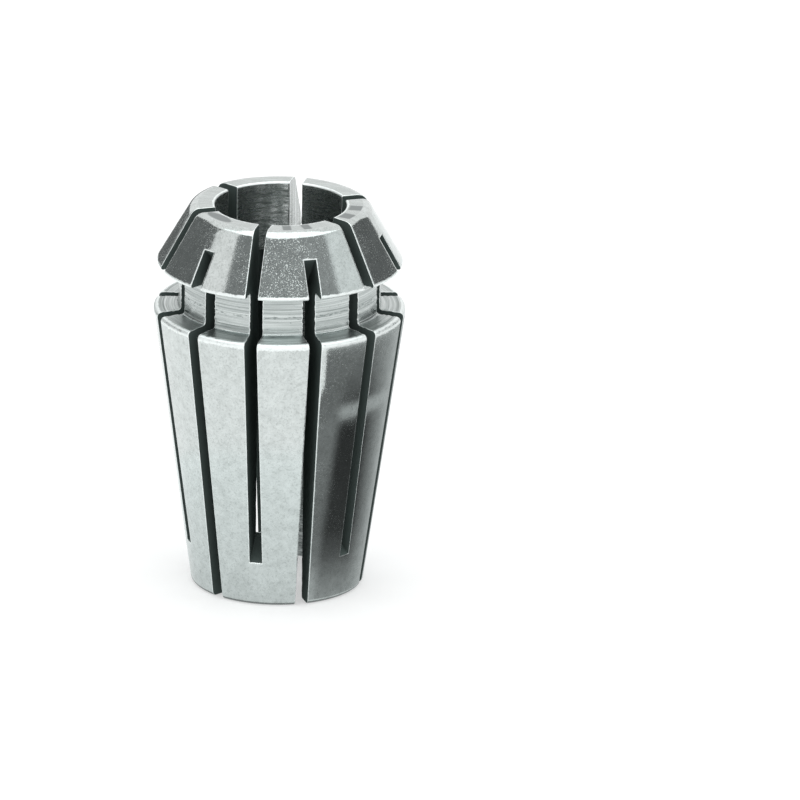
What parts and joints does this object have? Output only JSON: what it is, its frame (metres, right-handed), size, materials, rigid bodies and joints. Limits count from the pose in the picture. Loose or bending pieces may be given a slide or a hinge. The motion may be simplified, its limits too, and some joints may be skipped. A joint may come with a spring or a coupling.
{
  "type": "er collet",
  "caption": "Slotted spring collet with a long tapered body, a nut groove and a short conical nose, for gripping a straight tool shank.",
  "frame": {"origin": "centre of the rear face, at the small end that it stands on", "axes": "+Z along the bore towards the front face at the nose; the first front slot faces -Y"},
  "size_m": [0.0114, 0.0114, 0.018],
  "materials": {
    "ground_steel": "hardened and ground, satin on the cones, fine turning lines in the groove and the bore"
  },
  "bodies": {
    "root": {"collet": "ground_steel"}
  },
  "joints": []
}
